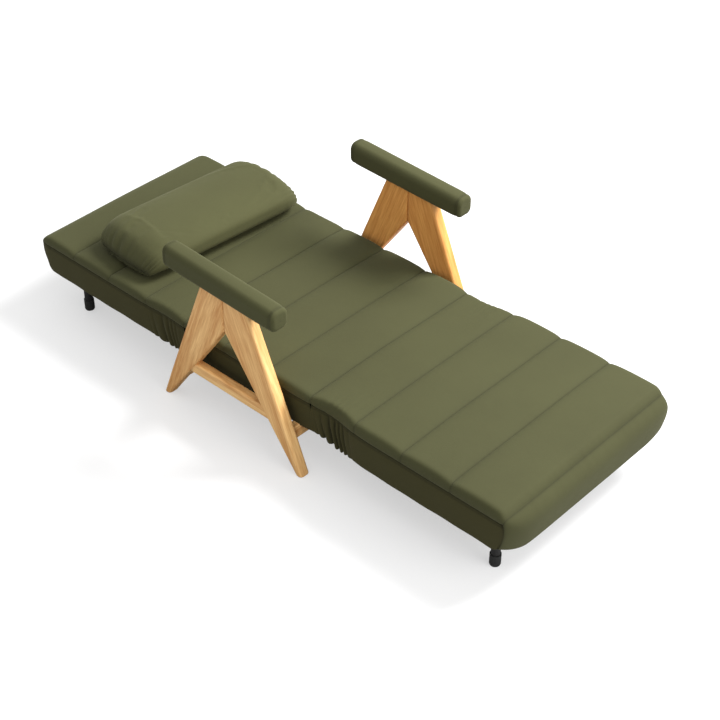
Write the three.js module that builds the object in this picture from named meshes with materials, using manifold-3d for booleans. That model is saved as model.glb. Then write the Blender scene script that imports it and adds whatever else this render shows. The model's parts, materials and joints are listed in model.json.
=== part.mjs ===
// Futon sofa bed, lying flat as a single bed. Millimetres, +Z up, +Y towards the head end.
// The origin is on the floor, at the middle of the whole length and width. Left is -X.
import * as THREE from "three";
import { mergeVertices } from "three/addons/utils/BufferGeometryUtils.js";
import Module from "manifold-3d";

const wasm = await Module();
wasm.setup();

// Mattress: three sections that meet at two fold axes
const CUSHION_WIDTH = 712;
const SEAT_LENGTH = 720;
const FOOT_LENGTH = 662;
const HEAD_LENGTH = 624;
const FOLD_AXIS_Z = 256;
const TOP_BELOW_AXIS = 1;
const SKIRT_BOTTOM_Z = 118;
const SKIRT_WALL = 12;
const END_SKIRT_WALL = 14;
const SIDE_ROUNDING = 14;
const END_ROUNDING = 30;
const FOLD_CORNER_ROUNDING = 16;
const FOLD_HALF_GAP = 2;

// Steel frame under each section: square tube, with wooden slats on it
const FRAME_BOTTOM_Z = 140;
const TUBE = 25;
const TUBE_WALL = 1.5;
const TUBE_CORNER = 3;
const SIDE_TUBE_INSET = 31.5;
const TUBE_FROM_AXIS = 15;
const CROSS_TUBE_FROM_AXIS = 90;
const SLAT_WIDTH = 60;
const SLAT_THICKNESS = 8;
const SEAT_SLATS = 3;
const END_SLATS = 2;

// Fold hinges: a fixed plate, a swinging plate and a pin at each side
const PLATE = 3.2;
const PIN_RADIUS = 4;
const PIN_HEAD_OVERHANG = 3;
const PIN_HEAD = 2.5;
const KNUCKLE_WALL = 4.5;
const PLATE_FOOT_START = 20;
const PLATE_FOOT_END = 70;
const SLOT_SIDE_ROOM = 2.5;
const SLOT_END_ROOM = 6;

// Folding legs: a pivot bar with a capped post at each end, hung from two brackets
const FOOT_LEG_INSET = 94;
const HEAD_LEG_INSET = 146;
const POST_RADIUS = 14;
const POST_WALL = 1.5;
const POST_SPREAD = 600;
const CAP_WALL = 2.7;
const CAP_HEIGHT = 42;
const CAP_SOLE = 12;
const CAP_SOLE_ROUNDING = 6;
const BAR_RADIUS = 10;
const BAR_WALL = 1.5;
const BRACKET_SPREAD = 480;
const BRACKET_WIDTH = 20;
const BRACKET_WALL = 4;
const FOLDED_LEG_CLEARANCE = 1;

// Wooden base: two A-frames, joined by two cross rails
const SIDE_CLEARANCE = 27;
const WOOD = 38;
const WOOD_EDGE = 4;
const A_FRAME_OFFSET = 15.5;
const A_FRAME_HEIGHT = 517;
const A_FRAME_TOP_LENGTH = 182;
const A_FRAME_BASE_LENGTH = 612;
const LEG_SOLE_LENGTH = 25;
const APEX_Z = 391;
const STRETCHER_BOTTOM_Z = 151;
const STRETCHER_HEIGHT = 38;
const STRETCHER_THICKNESS = 30;
const RAIL_THICKNESS = 28;
const RAIL_HEIGHT = 47;

// Armrests: level underneath, and thicker at the head end
const ARMREST_WIDTH = 66;
const ARMREST_FRONT_HEIGHT = 50;
const ARMREST_REAR_HEIGHT = 73;
const ARMREST_LENGTH = 464;
const ARMREST_OFFSET = 10;
const ARMREST_ROUNDING = 14;

// Pillow
const PILLOW_LENGTH = 640;
const PILLOW_DEPTH = 300;
const PILLOW_HEIGHT = 122;
const PILLOW_FROM_AXIS = 255;
const PILLOW_SIDE_OFFSET = 5;
const PILLOW_TURN = -3.5;
const PILLOW_REST_GAP = 1.5;

const GAP = 0.3;
const CURVE_SEGMENTS = 4;
const TUBE_CORNER_SEGMENTS = 1;
const ROUND_SEGMENTS = 24;
const EDGE_SEGMENTS = 2;

// Places worked out from the sizes above
const seatCentreY = (FOOT_LENGTH - HEAD_LENGTH) / 2;
const headAxisY = seatCentreY + SEAT_LENGTH / 2;
const footAxisY = seatCentreY - SEAT_LENGTH / 2;
const headEndY = headAxisY + HEAD_LENGTH;
const footEndY = footAxisY - FOOT_LENGTH;
const cushionTopZ = FOLD_AXIS_Z - TOP_BELOW_AXIS;
const tubeTopZ = FRAME_BOTTOM_Z + TUBE;
const foamBottomZ = tubeTopZ + SLAT_THICKNESS + 2 * GAP;
const halfWidth = CUSHION_WIDTH / 2;
const seatTubeInnerX = halfWidth - SIDE_TUBE_INSET - TUBE;
const fixedPlateX = seatTubeInnerX - GAP - PLATE;
const swingPlateX = fixedPlateX - GAP - PLATE;
const swingTubeInnerX = fixedPlateX;
const aFrameInnerX = halfWidth + SIDE_CLEARANCE;
const aFrameCentreX = aFrameInnerX + WOOD / 2;
const aFrameY = seatCentreY + A_FRAME_OFFSET;
const pinHeadRadius = PIN_RADIUS + PIN_HEAD_OVERHANG;
const knuckleRadius = PIN_RADIUS + KNUCKLE_WALL;
const capRadius = POST_RADIUS + GAP + CAP_WALL;
const legPivotZ = FRAME_BOTTOM_Z - capRadius - FOLDED_LEG_CLEARANCE;
const footLegY = footEndY + FOOT_LEG_INSET;
const headLegY = headEndY - HEAD_LEG_INSET;

const group = new THREE.Group();

const finishes = {
  fabric: { color: 0x6b6c50, roughness: 0.9, metalness: 0 },
  wood: { color: 0xc59a67, roughness: 0.5, metalness: 0 },
  slat: { color: 0xd8bd90, roughness: 0.6, metalness: 0 },
  blackSteel: { color: 0x151412, roughness: 0.45, metalness: 0.6 },
  zincSteel: { color: 0x9a9c9e, roughness: 0.35, metalness: 0.9 },
  blackPlastic: { color: 0x101010, roughness: 0.6, metalness: 0 },
};

function add(name, geometry, finish) {
  const mesh = new THREE.Mesh(geometry, new THREE.MeshStandardMaterial(finishes[finish]));
  mesh.name = name;
  group.add(mesh);
}

// Booleans: a closed geometry as a solid, and a solid as a geometry
function toSolid(geometry) {
  const bare = geometry.clone();
  bare.deleteAttribute("normal");
  bare.deleteAttribute("uv");
  const merged = mergeVertices(bare, 1e-3);
  const vertProperties = merged.attributes.position.array;
  const triVerts = new Uint32Array(merged.index.array);
  return new wasm.Manifold(new wasm.Mesh({ numProp: 3, vertProperties, triVerts }));
}

function toGeometry(solid) {
  const { vertProperties, triVerts } = solid.getMesh();
  const geometry = new THREE.BufferGeometry();
  geometry.setAttribute("position", new THREE.BufferAttribute(vertProperties, 3));
  geometry.setIndex(new THREE.BufferAttribute(triVerts, 1));
  geometry.computeVertexNormals();
  return geometry;
}

function cut(geometry, tools) {
  let solid = toSolid(geometry);
  for (const tool of tools) solid = solid.subtract(toSolid(tool));
  return toGeometry(solid);
}

function box(x0, x1, y0, y1, z0, z1) {
  const geometry = new THREE.BoxGeometry(x1 - x0, y1 - y0, z1 - z0);
  return geometry.translate((x0 + x1) / 2, (y0 + y1) / 2, (z0 + z1) / 2);
}

function extrude(shape, start, end, rounding) {
  const geometry = new THREE.ExtrudeGeometry(shape, {
    depth: end - start - 2 * rounding,
    bevelEnabled: rounding > 0,
    bevelThickness: rounding,
    bevelSize: rounding,
    bevelOffset: -rounding,
    bevelSegments: EDGE_SEGMENTS,
  });
  return geometry.translate(0, 0, start + rounding);
}

// A (y, z) outline carried along X, and an (z, x) outline carried along Y
function alongX(shape, x0, x1, rounding = 0) {
  const turn = new THREE.Matrix4().set(0, 0, 1, 0, 1, 0, 0, 0, 0, 1, 0, 0, 0, 0, 0, 1);
  return extrude(shape, x0, x1, rounding).applyMatrix4(turn);
}

function alongY(shape, y0, y1, rounding = 0) {
  const turn = new THREE.Matrix4().set(0, 1, 0, 0, 0, 0, 1, 0, 1, 0, 0, 0, 0, 0, 0, 1);
  return extrude(shape, y0, y1, rounding).applyMatrix4(turn);
}

function polygon(points) {
  return new THREE.Shape(points.map(([u, v]) => new THREE.Vector2(u, v)));
}

// Points of an arc, both ends included
function arc(u, v, radius, from, to, segments = CURVE_SEGMENTS) {
  const points = [];
  for (let i = 0; i <= segments; i += 1) {
    const angle = from + ((to - from) * i) / segments;
    points.push([u + radius * Math.cos(angle), v + radius * Math.sin(angle)]);
  }
  return points;
}

// A rectangle with its own rounding at each corner: low-low, high-low, high-high, low-high
function roundedRect(u0, u1, v0, v1, [r0, r1, r2, r3], segments = CURVE_SEGMENTS) {
  const quarter = Math.PI / 2;
  return polygon([
    ...arc(u0 + r0, v0 + r0, r0, -2 * quarter, -quarter, segments),
    ...arc(u1 - r1, v0 + r1, r1, -quarter, 0, segments),
    ...arc(u1 - r2, v1 - r2, r2, 0, quarter, segments),
    ...arc(u0 + r3, v1 - r3, r3, quarter, 2 * quarter, segments),
  ]);
}

function hole(u, v, radius) {
  return polygon(arc(u, v, radius, 0, 2 * Math.PI, ROUND_SEGMENTS).slice(1));
}

function squareTube(u, v) {
  const square = (half, corner) =>
    roundedRect(u - half, u + half, v - half, v + half, Array(4).fill(corner), TUBE_CORNER_SEGMENTS);
  const shape = square(TUBE / 2, TUBE_CORNER);
  shape.holes.push(square(TUBE / 2 - TUBE_WALL, TUBE_CORNER - TUBE_WALL));
  return shape;
}

// A turned piece on an upright axis, from (radius, height) points
function turned(points) {
  const profile = points.map(([r, z]) => new THREE.Vector2(r, z));
  return new THREE.LatheGeometry(profile, ROUND_SEGMENTS).rotateX(Math.PI / 2);
}

function roundBarX(radius, x0, x1, y, z) {
  const geometry = new THREE.CylinderGeometry(radius, radius, x1 - x0, ROUND_SEGMENTS);
  return geometry.rotateZ(Math.PI / 2).translate((x0 + x1) / 2, y, z);
}

// Both sides of the bed: -1 is left, 1 is right
function eachSide(make) {
  make("left", -1);
  make("right", 1);
}

function span(side, inner, outer) {
  return side < 0 ? [-outer, -inner] : [inner, outer];
}

// Slots in a cushion for the hinge plates at the fold at axisY; direction points into the cushion
function hingeSlots(axisY, direction) {
  const slots = [];
  const reach = PLATE_FOOT_END + SLOT_END_ROOM;
  const y0 = Math.min(axisY, axisY + direction * reach);
  const y1 = Math.max(axisY, axisY + direction * reach);
  const inner = swingPlateX - GAP - PIN_HEAD - SLOT_SIDE_ROOM;
  const outer = seatTubeInnerX + PIN_HEAD + SLOT_SIDE_ROOM;
  for (const side of [-1, 1]) {
    const [x0, x1] = span(side, inner, outer);
    slots.push(box(x0, x1, y0 - 1, y1 + 1, FRAME_BOTTOM_Z, FOLD_AXIS_Z + knuckleRadius));
  }
  return slots;
}

// One padded section: foam on top, with the cover's skirt hanging round the frame
function cushion(y0, y1, skirtBottomZ, corners, trayEnds, slots) {
  const outline = roundedRect(y0, y1, skirtBottomZ, cushionTopZ, corners);
  const padded = alongX(outline, -halfWidth, halfWidth, SIDE_ROUNDING);
  const innerX = halfWidth - SKIRT_WALL;
  const tray = box(-innerX, innerX, trayEnds[0], trayEnds[1], skirtBottomZ - 1, foamBottomZ);
  return cut(padded, [tray, ...slots]);
}

function cushions() {
  const f = FOLD_CORNER_ROUNDING;
  const e = END_ROUNDING;
  const seatSkirtZ = FRAME_BOTTOM_Z + 1;
  const seatStart = footAxisY + FOLD_HALF_GAP;
  const seatEnd = headAxisY - FOLD_HALF_GAP;
  const seatSlots = [...hingeSlots(footAxisY, 1), ...hingeSlots(headAxisY, -1)];
  const seatTray = [seatStart - 1, seatEnd + 1];
  const seat = cushion(seatStart, seatEnd, seatSkirtZ, [f, f, f, f], seatTray, seatSlots);
  add("seat_cushion", seat, "fabric");

  const footTop = footAxisY - FOLD_HALF_GAP;
  const footTray = [footEndY + END_SKIRT_WALL, footTop + 1];
  const footSlots = hingeSlots(footAxisY, -1);
  const foot = cushion(footEndY, footTop, SKIRT_BOTTOM_Z, [f, f, f, e], footTray, footSlots);
  add("foot_cushion", foot, "fabric");

  const headStart = headAxisY + FOLD_HALF_GAP;
  const headTray = [headStart - 1, headEndY - END_SKIRT_WALL];
  const headSlots = hingeSlots(headAxisY, 1);
  const head = cushion(headStart, headEndY, SKIRT_BOTTOM_Z, [f, f, e, f], headTray, headSlots);
  add("back_cushion", head, "fabric");
}

// A section's frame: two side tubes along Y and two cross tubes between them
function steelFrame(section, y0, y1, crossYs, innerX) {
  const middleZ = FRAME_BOTTOM_Z + TUBE / 2;
  eachSide((name, side) => {
    const shape = squareTube(middleZ, side * (innerX + TUBE / 2));
    add(`${section}_frame_side_tube_${name}`, alongY(shape, y0, y1), "blackSteel");
  });
  crossYs.forEach(([end, y]) => {
    const reach = innerX - GAP;
    add(`${section}_frame_cross_tube_${end}`, alongX(squareTube(y, middleZ), -reach, reach), "blackSteel");
  });
}

function slats(section, count, crossA, crossB, innerX) {
  const reach = innerX + TUBE;
  const z0 = tubeTopZ + GAP;
  for (let i = 1; i <= count; i += 1) {
    const y = crossA + ((crossB - crossA) * i) / (count + 1);
    const slat = box(-reach, reach, y - SLAT_WIDTH / 2, y + SLAT_WIDTH / 2, z0, z0 + SLAT_THICKNESS);
    add(`${section}_slat_${i}`, slat, "slat");
  }
}

function frames() {
  const seatFront = footAxisY + CROSS_TUBE_FROM_AXIS;
  const seatRear = headAxisY - CROSS_TUBE_FROM_AXIS;
  const seatCross = [["front", seatFront], ["rear", seatRear]];
  steelFrame("seat", footAxisY + TUBE_FROM_AXIS, headAxisY - TUBE_FROM_AXIS, seatCross, seatTubeInnerX);
  slats("seat", SEAT_SLATS, seatFront, seatRear, seatTubeInnerX);

  const footInner = footAxisY - CROSS_TUBE_FROM_AXIS;
  const footCross = [["inner", footInner], ["end", footLegY]];
  steelFrame("foot", footLegY - TUBE / 2, footAxisY - TUBE_FROM_AXIS, footCross, swingTubeInnerX);
  slats("foot", END_SLATS, footInner, footLegY, swingTubeInnerX);

  const headInner = headAxisY + CROSS_TUBE_FROM_AXIS;
  const headCross = [["inner", headInner], ["end", headLegY]];
  steelFrame("back", headAxisY + TUBE_FROM_AXIS, headLegY + TUBE / 2, headCross, swingTubeInnerX);
  slats("back", END_SLATS, headInner, headLegY, swingTubeInnerX);
}

// A hinge plate: a round knuckle at the axis, and an arm down to its foot on the side tube
function hingePlate(axisY, direction, x0, x1) {
  const low = FRAME_BOTTOM_Z;
  const outline = [
    [PLATE_FOOT_START, low],
    [PLATE_FOOT_END, low],
    [PLATE_FOOT_END, low + TUBE],
    ...arc(0, FOLD_AXIS_Z, knuckleRadius, 0, Math.PI, 2 * CURVE_SEGMENTS),
    [PLATE_FOOT_START, low + TUBE],
  ];
  const points = outline.map(([distance, z]) => [axisY + direction * distance, z]);
  if (direction < 0) points.reverse();
  const shape = polygon(points);
  shape.holes.push(hole(axisY, FOLD_AXIS_Z, PIN_RADIUS + GAP));
  return alongX(shape, x0, x1);
}

function hingePin(side, axisY) {
  const points = [
    [0, 0],
    [pinHeadRadius, 0],
    [pinHeadRadius, PIN_HEAD],
    [PIN_RADIUS, PIN_HEAD],
    [PIN_RADIUS, PIN_HEAD + 2 * PLATE + 3 * GAP],
    [pinHeadRadius, PIN_HEAD + 2 * PLATE + 3 * GAP],
    [pinHeadRadius, 2 * PIN_HEAD + 2 * PLATE + 3 * GAP],
    [0, 2 * PIN_HEAD + 2 * PLATE + 3 * GAP],
  ];
  const start = side * (swingPlateX - GAP - PIN_HEAD);
  return turned(points).rotateY((side * Math.PI) / 2).translate(start, axisY, FOLD_AXIS_Z);
}

function foldHinges() {
  const folds = [["back", headAxisY, 1], ["foot", footAxisY, -1]];
  for (const [fold, axisY, outward] of folds) {
    eachSide((name, side) => {
      const fixed = span(side, fixedPlateX, fixedPlateX + PLATE);
      const swing = span(side, swingPlateX, swingPlateX + PLATE);
      add(`${fold}_hinge_fixed_plate_${name}`, hingePlate(axisY, -outward, ...fixed), "zincSteel");
      add(`${fold}_hinge_swing_plate_${name}`, hingePlate(axisY, outward, ...swing), "zincSteel");
      add(`${fold}_hinge_pin_${name}`, hingePin(side, axisY), "zincSteel");
    });
  }
}

function legCap() {
  const bore = POST_RADIUS + GAP;
  const step = CAP_SOLE_ROUNDING * (1 - Math.SQRT1_2);
  return turned([
    [0, 0],
    [capRadius - CAP_SOLE_ROUNDING, 0],
    [capRadius - step, step],
    [capRadius, CAP_SOLE_ROUNDING],
    [capRadius, CAP_HEIGHT],
    [bore, CAP_HEIGHT],
    [bore, CAP_SOLE],
    [0, CAP_SOLE],
  ]);
}

function legPost() {
  const low = CAP_SOLE + GAP;
  const high = legPivotZ + BAR_RADIUS;
  const bore = POST_RADIUS - POST_WALL;
  return turned([[bore, low], [POST_RADIUS, low], [POST_RADIUS, high], [bore, high], [bore, low]]);
}

function legBracket(x, y) {
  const top = FRAME_BOTTOM_Z - GAP;
  const r = BAR_RADIUS + GAP + BRACKET_WALL;
  const saddle = arc(y, legPivotZ, r, Math.PI, 2 * Math.PI, 2 * CURVE_SEGMENTS);
  const shape = polygon([[y + r, top], [y - r, top], ...saddle]);
  shape.holes.push(hole(y, legPivotZ, BAR_RADIUS + GAP));
  return alongX(shape, x - BRACKET_WIDTH / 2, x + BRACKET_WIDTH / 2);
}

function foldingLegs(section, y) {
  const reach = POST_SPREAD / 2 - POST_RADIUS - GAP;
  const bar = cut(roundBarX(BAR_RADIUS, -reach, reach, y, legPivotZ), [
    roundBarX(BAR_RADIUS - BAR_WALL, -reach - 1, reach + 1, y, legPivotZ),
  ]);
  add(`${section}_leg_pivot_bar`, bar, "blackSteel");
  eachSide((name, side) => {
    const x = (side * POST_SPREAD) / 2;
    add(`${section}_leg_post_${name}`, legPost().translate(x, y, 0), "blackSteel");
    add(`${section}_leg_cap_${name}`, legCap().translate(x, y, 0), "blackPlastic");
    add(`${section}_leg_bracket_${name}`, legBracket((side * BRACKET_SPREAD) / 2, y), "blackSteel");
  });
}

// Half the length between the inner edges of an A-frame's legs at a height
function innerHalfLength(z) {
  return (A_FRAME_BASE_LENGTH / 2 - LEG_SOLE_LENGTH) * (1 - z / APEX_Z);
}

// Half the length between the outer edges of an A-frame's legs at a height
function outerHalfLength(z) {
  const taper = (A_FRAME_BASE_LENGTH - A_FRAME_TOP_LENGTH) / 2;
  return A_FRAME_BASE_LENGTH / 2 - (taper * z) / A_FRAME_HEIGHT;
}

function aFrameLeg(direction, x0, x1) {
  const along = (distance) => aFrameY + direction * distance;
  const points = [
    [along(A_FRAME_BASE_LENGTH / 2 - LEG_SOLE_LENGTH), 0],
    [along(A_FRAME_BASE_LENGTH / 2), 0],
    [along(A_FRAME_TOP_LENGTH / 2), A_FRAME_HEIGHT],
    [along(GAP / 2), A_FRAME_HEIGHT],
    [along(GAP / 2), APEX_Z],
  ];
  if (direction < 0) points.reverse();
  return alongX(polygon(points), x0, x1, WOOD_EDGE);
}

function stretcher(side) {
  const low = innerHalfLength(STRETCHER_BOTTOM_Z) - 2 * GAP;
  const topZ = STRETCHER_BOTTOM_Z + STRETCHER_HEIGHT;
  const high = innerHalfLength(topZ) - 2 * GAP;
  const outline = polygon([
    [aFrameY - low, STRETCHER_BOTTOM_Z],
    [aFrameY + low, STRETCHER_BOTTOM_Z],
    [aFrameY + high, topZ],
    [aFrameY - high, topZ],
  ]);
  const inset = (WOOD - STRETCHER_THICKNESS) / 2;
  return alongX(outline, ...span(side, aFrameInnerX + inset, aFrameInnerX + WOOD - inset));
}

function armrest(side) {
  const front = aFrameY + ARMREST_OFFSET - ARMREST_LENGTH / 2;
  const low = A_FRAME_HEIGHT + GAP;
  const [x0, x1] = span(side, aFrameCentreX - ARMREST_WIDTH / 2, aFrameCentreX + ARMREST_WIDTH / 2);
  const outline = roundedRect(low, low + ARMREST_REAR_HEIGHT, x0, x1, Array(4).fill(ARMREST_ROUNDING));
  const pad = alongY(outline, front, front + ARMREST_LENGTH, ARMREST_ROUNDING / 2);
  const place = pad.attributes.position;
  const taper = 1 - ARMREST_FRONT_HEIGHT / ARMREST_REAR_HEIGHT;
  for (let i = 0; i < place.count; i += 1) {
    const fromRear = 1 - (place.getY(i) - front) / ARMREST_LENGTH;
    place.setZ(i, low + (place.getZ(i) - low) * (1 - taper * fromRear));
  }
  pad.computeVertexNormals();
  return pad;
}

function woodenBase() {
  eachSide((name, side) => {
    const faces = span(side, aFrameInnerX, aFrameInnerX + WOOD);
    add(`${name}_rear_leg`, aFrameLeg(1, ...faces), "wood");
    add(`${name}_front_leg`, aFrameLeg(-1, ...faces), "wood");
    add(`${name}_stretcher`, stretcher(side), "wood");
    add(`${name}_armrest`, armrest(side), "fabric");
  });
  const reach = aFrameInnerX - GAP;
  const top = FRAME_BOTTOM_Z - GAP;
  const middle = top - RAIL_HEIGHT / 2;
  const offset = (innerHalfLength(middle) + outerHalfLength(middle)) / 2;
  const half = RAIL_THICKNESS / 2;
  for (const [name, direction] of [["rear_rail", 1], ["front_rail", -1]]) {
    const y = aFrameY + direction * offset;
    add(name, box(-reach, reach, y - half, y + half, top - RAIL_HEIGHT, top), "wood");
  }
}

// An oval bolster that lies across the head section
function pillow() {
  const half = PILLOW_LENGTH / 2;
  const steps = 16;
  const profile = [];
  for (let i = 0; i <= steps; i += 1) {
    const t = (i / steps) * 2 - 1;
    const radius = i === 0 || i === steps ? 0 : (1 - Math.abs(t) ** 7) ** 0.5;
    profile.push(new THREE.Vector2(radius, t * half));
  }
  const geometry = new THREE.LatheGeometry(profile, ROUND_SEGMENTS);
  geometry.rotateZ(-Math.PI / 2);
  geometry.scale(1, PILLOW_DEPTH / 2, PILLOW_HEIGHT / 2);
  geometry.rotateZ(THREE.MathUtils.degToRad(PILLOW_TURN));
  const z = cushionTopZ + PILLOW_REST_GAP + PILLOW_HEIGHT / 2;
  return geometry.translate(PILLOW_SIDE_OFFSET, headAxisY + PILLOW_FROM_AXIS, z);
}

woodenBase();
frames();
foldHinges();
cushions();
foldingLegs("foot", footLegY);
foldingLegs("back", headLegY);
add("pillow", pillow(), "fabric");

export default group;
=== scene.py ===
import itertools
import json
import math

import bpy
import numpy as np
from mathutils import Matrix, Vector


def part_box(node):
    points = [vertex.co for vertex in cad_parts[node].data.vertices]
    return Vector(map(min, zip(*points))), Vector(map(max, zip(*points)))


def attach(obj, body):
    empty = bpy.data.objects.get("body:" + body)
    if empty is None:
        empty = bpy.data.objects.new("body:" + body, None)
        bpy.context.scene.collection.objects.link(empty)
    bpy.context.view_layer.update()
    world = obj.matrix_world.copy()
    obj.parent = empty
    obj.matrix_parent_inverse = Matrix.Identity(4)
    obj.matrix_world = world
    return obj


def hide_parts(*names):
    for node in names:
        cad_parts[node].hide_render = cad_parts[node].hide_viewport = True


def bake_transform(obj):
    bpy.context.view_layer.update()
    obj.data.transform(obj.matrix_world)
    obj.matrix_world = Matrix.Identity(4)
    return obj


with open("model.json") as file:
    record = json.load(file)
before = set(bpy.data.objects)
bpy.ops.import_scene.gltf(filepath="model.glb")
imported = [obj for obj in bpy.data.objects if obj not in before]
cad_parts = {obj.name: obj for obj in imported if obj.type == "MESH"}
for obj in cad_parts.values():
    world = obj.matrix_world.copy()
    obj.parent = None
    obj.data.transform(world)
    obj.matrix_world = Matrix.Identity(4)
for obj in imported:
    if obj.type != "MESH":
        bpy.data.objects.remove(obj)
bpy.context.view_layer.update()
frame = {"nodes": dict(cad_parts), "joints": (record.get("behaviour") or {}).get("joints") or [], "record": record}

# Studio. A wide pale floor, one large soft light high up on the right of the bed, a second at its foot, and weak
# light from all round. The camera stands off the foot end's left corner and looks down on the whole bed.
CAMERA_AZIMUTH = -47.03
CAMERA_ELEVATION = 38.08
CAMERA_DISTANCE = 4.564
CAMERA_TARGET_FROM_FOLD = (-0.1625, 0.0736, 0.300)
LENS = 77.6
SENSOR = 36.0
LAMP_DISTANCE = 6.0
LAMP_AIM = (0, 0, 0.2)
SKY_STRENGTH = 0.86
FLOOR_SIZE = 24.0
PAPER_GREY = 0.42
PAPER_GLOW = 0.51

scene = bpy.context.scene
scene.view_settings.view_transform = "Standard"


def towards(azimuth, elevation):
    """Unit vector that points from the bed to a place at this azimuth and elevation, in degrees."""
    a, e = math.radians(azimuth), math.radians(elevation)
    return Vector((math.sin(a) * math.cos(e), -math.cos(a) * math.cos(e), math.sin(e)))


def aim(holder, azimuth, elevation, distance, target):
    """Puts a camera or lamp at a distance from the target, looking at it."""
    back = towards(azimuth, elevation)
    holder.location = Vector(target) + back * distance
    holder.rotation_euler = (-back).to_track_quat("-Z", "Y").to_euler()
    scene.collection.objects.link(holder)


camera = bpy.data.objects.new("camera", bpy.data.cameras.new("camera"))
camera.data.lens = LENS
camera.data.sensor_width = SENSOR
joints = {j["name"]: j for j in frame["joints"]}


def joint_place(name):
    """A joint's place in metres."""
    found = joints[name]
    return np.array(found.get("pos_m", found.get("pos")))


camera_target = np.array(CAMERA_TARGET_FROM_FOLD) + (0, joint_place("foot_hinge")[1], 0)
aim(camera, CAMERA_AZIMUTH, CAMERA_ELEVATION, CAMERA_DISTANCE, camera_target)
scene.camera = camera


def softbox(name, azimuth, elevation, size, power):
    """A square lamp that faces the bed."""
    lamp = bpy.data.lights.new(name, "AREA")
    lamp.shape = "SQUARE"
    lamp.size = size
    lamp.energy = power
    aim(bpy.data.objects.new(name, lamp), azimuth, elevation, LAMP_DISTANCE, LAMP_AIM)


softbox("key_light", azimuth=66, elevation=48, size=2.4, power=665)
softbox("foot_light", azimuth=2, elevation=30, size=3.6, power=160)

sky = bpy.data.worlds.new("studio_light")
sky.use_nodes = True
sky.node_tree.nodes["Background"].inputs["Color"].default_value = (1, 1, 1, 1)
sky.node_tree.nodes["Background"].inputs["Strength"].default_value = SKY_STRENGTH
scene.world = sky

floor_mesh = bpy.data.meshes.new("floor")
floor_corners = [(x * FLOOR_SIZE / 2, y * FLOOR_SIZE / 2, 0) for x, y in ((-1, -1), (1, -1), (1, 1), (-1, 1))]
floor_mesh.from_pydata(floor_corners, [], [(0, 1, 2, 3)])
floor = bpy.data.objects.new("floor", floor_mesh)
scene.collection.objects.link(floor)
paper = bpy.data.materials.new("studio_paper")
paper.use_nodes = True
nodes, links = paper.node_tree.nodes, paper.node_tree.links
nodes.clear()
seen = nodes.new("ShaderNodeLightPath")
matt = nodes.new("ShaderNodeBsdfDiffuse")
matt.inputs["Color"].default_value = (PAPER_GREY, PAPER_GREY, PAPER_GREY, 1)
glow = nodes.new("ShaderNodeEmission")
glow.inputs["Strength"].default_value = PAPER_GLOW
both = nodes.new("ShaderNodeAddShader")
pick = nodes.new("ShaderNodeMixShader")
out = nodes.new("ShaderNodeOutputMaterial")
links.new(matt.outputs[0], both.inputs[0])
links.new(glow.outputs[0], both.inputs[1])
links.new(seen.outputs["Is Camera Ray"], pick.inputs["Fac"])
links.new(matt.outputs[0], pick.inputs[1])
links.new(both.outputs[0], pick.inputs[2])
links.new(pick.outputs[0], out.inputs["Surface"])
floor.data.materials.append(paper)


# Mattress covers. Three foam sections in one olive velvet cover, sewn across in channels, with a deep side band
# whose hem hangs below the steel frame. Over the two folds the band is gathered, so that it can open as they turn.
FOOT_HALF_WIDTH = 370.0
BACK_HALF_WIDTH = 363.0
RIM_START = 0.78
RIM_REACH = 21.0
RIM_TUCK = math.radians(48)
HEAD_NOSE = 62.0
FOOT_NOSE = 22.0
CHANNEL = 180.0
CHANNEL_COUNT = 10
CROWN = 37.0
PUFF = 4.5
SEAM_GAP = 0.02
UNDERSIDE_INSET = 22.0
HEM_WALL = 11.0
HEM_LIFT = 21.0
FOOT_HEM_DROP = 8.0
PLEAT_SPACING = 24.0
PLEAT_DEPTH = 18.0
PLEAT_LEAN = 18.0
STITCH_ROWS = (5.5, 8.5)
ACROSS_COUNT = 121
# An end panel: how far it bulges, at what share of its height, and how far its hem comes back.
FOOT_PANEL = (31, 0.42, 12)
HEAD_PANEL = (1, 0.4, 12)
# Shares of a band's height where its loops lie: close together for the lip and the stitches, then even.
BAND_SHARES = np.concatenate([
    np.array([0.7, 1.6, 2.8, 4.2, 5.0, 5.5, 6.0, 7.0, 8.0, 8.5, 9.0, 10.0, 12.0, 15.0]) / 123,
    np.linspace(0.15, 1, 30),
])
foot_fold = joint_place("foot_hinge")[1] * 1000
back_fold = joint_place("back_hinge")[1] * 1000
axis_z = joint_place("foot_hinge")[2] * 1000
seam_z = axis_z - 18
hem_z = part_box("foot_cushion")[0][2] * 1000
ceiling_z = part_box("seat_slat_1")[1][2] * 1000 + 1
foot_seam = foot_fold - 3.5 * CHANNEL
head_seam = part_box("back_cushion")[1][1] * 1000 + 2


def make_object(name, points, faces):
    """A smooth mesh object from places in millimetres and faces as lists of corner numbers."""
    mesh = bpy.data.meshes.new(name)
    mesh.from_pydata((np.asarray(points) / 1000).tolist(), [], faces)
    mesh.polygons.foreach_set("use_smooth", np.ones(len(mesh.polygons), bool))
    mesh.update()
    made = bpy.data.objects.new(name, mesh)
    scene.collection.objects.link(made)
    return made


def number(made, name, values):
    """Stores one number for each vertex, for the material to read."""
    made.data.attributes.new(name, "FLOAT", "POINT").data.foreach_set("value", values.astype(np.float32))


def edge_loop(grid):
    """The grid's outer points in order: along its first row, up its last column, and back round."""
    return np.concatenate([grid[0], grid[1:, -1], grid[-1, -2::-1], grid[-2:0:-1, 0]])


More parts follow.
